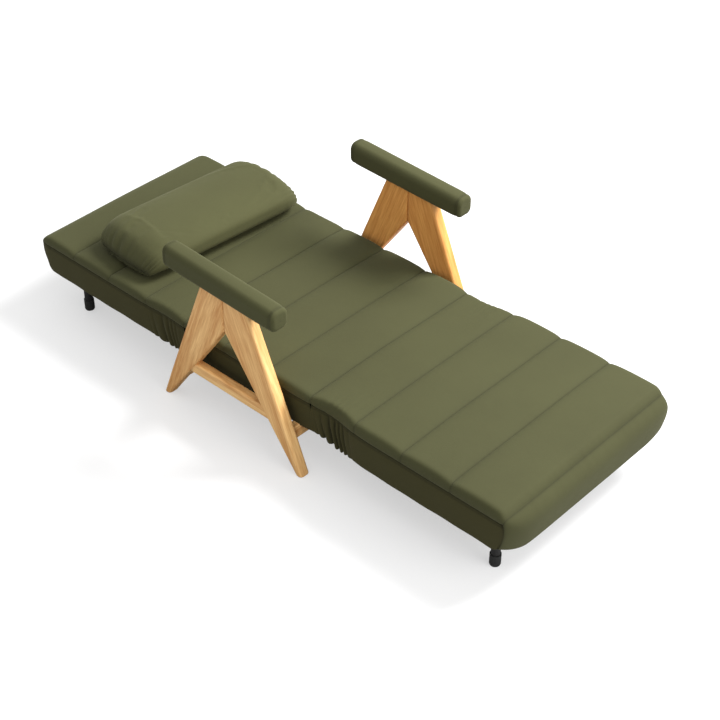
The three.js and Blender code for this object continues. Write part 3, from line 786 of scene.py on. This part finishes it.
def wood_tone(name):
    """The wood grain group: long streaks and broad bands along the third axis of its vector, and boards of slightly
    different tone side by side along the second."""
    group = bpy.data.node_groups.new(name, "ShaderNodeTree")
    sockets = {
        "INPUT": {"Vector": "Vector", "Light": "Color", "Dark": "Color", "Board Width": "Float"},
        "OUTPUT": {"Color": "Color", "Height": "Float"},
    }
    for way, named in sockets.items():
        for socket, kind in named.items():
            group.interface.new_socket(socket, in_out=way, socket_type="NodeSocket" + kind)
    inside = maker(group)
    given = group.nodes.new("NodeGroupInput")
    result = group.nodes.new("NodeGroupOutput")
    stretch = inside("VectorMath", {0: given.outputs["Vector"], 1: (1, 1, 0.06)}, operation="MULTIPLY")
    streak = inside("TexNoise", {"Vector": stretch.outputs[0], "Scale": 260.0, "Detail": 4.0, "Roughness": 0.6})
    bands = inside("TexNoise", {"Vector": stretch.outputs[0], "Scale": 42.0, "Detail": 3.0, "Distortion": 1.2})
    parts = inside("SeparateXYZ", {0: given.outputs["Vector"]})
    board = inside("Math", {0: parts.outputs["Y"], 1: given.outputs["Board Width"]}, operation="DIVIDE")
    whole = inside("Math", {0: board.outputs[0]}, operation="FLOOR")
    pick = inside("TexWhiteNoise", {"W": whole.outputs[0]}, noise_dimensions="1D")
    broad = inside("MapRange", {"Value": bands.outputs["Fac"], "From Min": 0.32, "From Max": 0.68})
    fine = inside("MapRange", {"Value": streak.outputs["Fac"], "From Min": 0.36, "From Max": 0.66})
    darkness = 0.0
    for source, weight in ((fine.outputs[0], 0.38), (broad.outputs[0], 0.50), (pick.outputs["Value"], 0.24)):
        darkness = inside("Math", {0: source, 1: weight, 2: darkness}, operation="MULTIPLY_ADD").outputs[0]
    mixed = {0: darkness, 6: given.outputs["Light"], 7: given.outputs["Dark"]}
    shade = inside("Mix", mixed, data_type="RGBA")
    group.links.new(shade.outputs[2], result.inputs["Color"])
    group.links.new(streak.outputs["Fac"], result.inputs["Height"])
    return group


grain_group = wood_tone("wood_grain")


def wood(name, light, dark, board, roughness, vector_of):
    """A wood finish: the grain group between two tones, with fine pores as bump. vector_of gives its grain place."""
    made, shader, add = new_material(name, roughness, Specular_IOR_Level=0.35)
    grain = add("Group", node_tree=grain_group)
    join(add, vector_of(add), grain.inputs["Vector"])
    grain.inputs["Light"].default_value = (*light, 1)
    grain.inputs["Dark"].default_value = (*dark, 1)
    grain.inputs["Board Width"].default_value = board
    join(add, grain.outputs["Color"], shader.inputs["Base Color"])
    pores = add("Bump", {"Height": grain.outputs["Height"], "Distance": 0.0006, "Strength": 0.3})
    join(add, pores.outputs[0], shader.inputs["Normal"])
    return made


def grain_attribute(add):
    """The grain place that the piece itself carries."""
    return add("Attribute", attribute_name="grain").outputs["Vector"]


oiled_wood = {side: wood(*tones, BOARD_WIDTH, 0.52, grain_attribute) for side, tones in WOOD_TONES.items()}
stock_number = itertools.count()


def finish_wood(made, node, along, across):
    """Each piece is cut from its own stretch of the stock."""
    cut = next(stock_number)
    third = np.cross(along, across)
    grain = places(made.data) @ np.array([third, across, along], np.float32).T
    grain[:, 2] += STOCK_LENGTH * cut
    grain[:, 1] += BOARD_WIDTH * 7 * cut
    made.data.attributes.new("grain", "FLOAT_VECTOR", "POINT").data.foreach_set("vector", grain.reshape(-1))
    # Pieces on the right take the darker copy of the wood, painted shade.
    made.data.materials.append(oiled_wood["right" if made.name.startswith("right") else "left"])
    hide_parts(node)
    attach(made, "base")


def a_frame_leg(name, node, direction):
    """A leg as level sections from the floor up: a rounded rectangle between the leg's inner and outer edge lines.
    Above the apex the inner edge is the upright glue line. The edge of the foot is rounded over 4.5 mm. direction
    is the way the foot points along the bed."""
    low, high = (np.array(corner) * 1000 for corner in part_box(node))
    glue_y = low[1] if direction > 0 else high[1]
    middle_x, reach, top = (low[0] + high[0]) / 2, high[1] - low[1], high[2]
    z = np.concatenate([[0, 0.4, 1.2, 2.6, 4.5, 7], np.linspace(12, APEX_Z, 60), np.linspace(APEX_Z + 2, top, 20)])
    outer = reach + (LEG_TOP - reach) * z / top
    inner = np.where(z < APEX_Z, (reach - SOLE) * (1 - z / APEX_Z), JOINT_GAP)
    inner = np.maximum(inner, JOINT_GAP)
    ease = 4.5 * np.clip(1 - z / 4.5, 0, 1) ** 2
    half_y = (outer - inner) / 2 - ease
    half_x = (high[0] - low[0]) / 2 - ease
    radius = np.minimum(7 + 4 * np.clip(1 - z / 120, 0, 1), half_y - 0.5)
    rings = []
    for k, level in enumerate(z):
        loop = rounded_loop(half_y[k], half_x[k], radius[k], LEG_POINTS)
        y = glue_y + direction * ((outer[k] + inner[k]) / 2 + loop[:, 0])
        rings.append(np.stack([middle_x + loop[:, 1], y, np.full(LEG_POINTS, level)], -1))
    rings = np.array(rings)
    leg = closed_skin(name, rings[:, ::-1] if direction > 0 else rings)
    slope = (LEG_TOP - reach + SOLE / 2) / top
    along = np.array([0, direction * slope, 1.0])
    along /= np.linalg.norm(along)
    across = np.array([0, along[2], -along[1]])
    finish_wood(leg, node, along, across)


def straight_bar(name, node, long_axis, radius):
    """A bar with rounded edges along x or y, in the box of its CAD solid. Round each end face runs a
    groove 2 mm wide and 1 mm deep, where the bar meets the leg."""
    low, high = (np.array(corner) * 1000 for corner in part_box(node))
    middle, half = (low + high) / 2, (high - low) / 2
    groove_inset, groove_depth = np.array([2, 1, 0.3]), np.array([0, 0.3, 1])
    flat = np.zeros(21)
    inset = np.concatenate([groove_inset, flat, groove_inset[::-1]])
    run = np.concatenate([groove_depth - half[long_axis], np.linspace(-1, 1, 21) * half[long_axis],
                          half[long_axis] - groove_depth[::-1]])
    cross = [k for k in (0, 1, 2) if k != long_axis]
    rings = []
    for k, place in enumerate(run):
        loop = rounded_loop(half[cross[0]] - inset[k], half[cross[1]] - inset[k], radius, BAR_POINTS)
        ring = np.zeros((BAR_POINTS, 3))
        ring[:, long_axis] = place
        ring[:, cross] = loop
        rings.append(ring + middle)
    rings = np.array(rings)
    return closed_skin(name, rings[:, ::-1] if long_axis == 1 else rings)


X, Y, Z = np.eye(3)
for side in ("left", "right"):
    a_frame_leg(f"{side}_rear_leg_wood", f"{side}_rear_leg", direction=1)
    a_frame_leg(f"{side}_front_leg_wood", f"{side}_front_leg", direction=-1)
    bar = straight_bar(f"{side}_stretcher_wood", f"{side}_stretcher", long_axis=1, radius=4)
    finish_wood(bar, f"{side}_stretcher", Y, Z)
for rail in ("front_rail", "rear_rail"):
    finish_wood(straight_bar(f"{rail}_wood", rail, long_axis=0, radius=4), rail, X, Z)


# Steel under-frames, hinges and folding legs, with springy wooden slats. The tubes, posts and brackets are painted
# black, the hinge plates and pins are zinc plated, and the feet wear black caps.
def object_place(add):
    """Object coordinates with the grain turned along the bed's width."""
    place = add("TexCoord").outputs["Object"]
    return add("Mapping", {"Vector": place, "Rotation": (0, math.pi / 2, 0)}).outputs[0]


slat_wood = wood("birch_slats", (0.72, 0.56, 0.34), (0.52, 0.36, 0.19), 0.03, 0.5, object_place)

enamel, shader, add = new_material("black_enamel", 0.42, Specular_IOR_Level=0.3)
place = add("TexCoord").outputs["Object"]
orange_peel = add("TexNoise", {"Vector": place, "Scale": 420.0, "Detail": 2.0})
dust = add("TexNoise", {"Vector": place, "Scale": 26.0, "Detail": 5.0})
shade = two_tones(add, dust.outputs["Fac"], (0.010, 0.010, 0.010), (0.022, 0.021, 0.020))
join(add, shade, shader.inputs["Base Color"])
peel = add("Bump", {"Height": orange_peel.outputs["Fac"], "Distance": 0.0003, "Strength": 0.25})
join(add, peel.outputs[0], shader.inputs["Normal"])

zinc, shader, add = new_material("zinc_plate", 0.36, Metallic=1.0)
place = add("TexCoord").outputs["Object"]
spangle = add("TexNoise", {"Vector": place, "Scale": 160.0, "Detail": 3.0})
shade = two_tones(add, spangle.outputs["Fac"], (0.42, 0.43, 0.44), (0.62, 0.63, 0.64))
join(add, shade, shader.inputs["Base Color"])
gloss = add("MapRange", {"Value": spangle.outputs["Fac"], "To Min": 0.28, "To Max": 0.48})
join(add, gloss.outputs[0], shader.inputs["Roughness"])

plastic, shader, add = new_material("black_rubber", 0.6, Specular_IOR_Level=0.3)
place = add("TexCoord").outputs["Object"]
scuff = add("TexNoise", {"Vector": place, "Scale": 90.0, "Detail": 5.0})
shade = two_tones(add, scuff.outputs["Fac"], (0.010, 0.010, 0.010), (0.026, 0.026, 0.025))
join(add, shade, shader.inputs["Base Color"])
matt = add("Bump", {"Height": scuff.outputs["Fac"], "Distance": 0.0004, "Strength": 0.3})
join(add, matt.outputs[0], shader.inputs["Normal"])

finish_of = {"slat_wood": slat_wood, "black_steel": enamel, "zinc_steel": zinc, "black_plastic": plastic}
for subpart in frame["record"]["subparts"]:
    finish = finish_of.get(subpart["material_slot"])
    if finish:
        for material_slot in frame["nodes"][subpart["node"]].material_slots:
            material_slot.material = finish
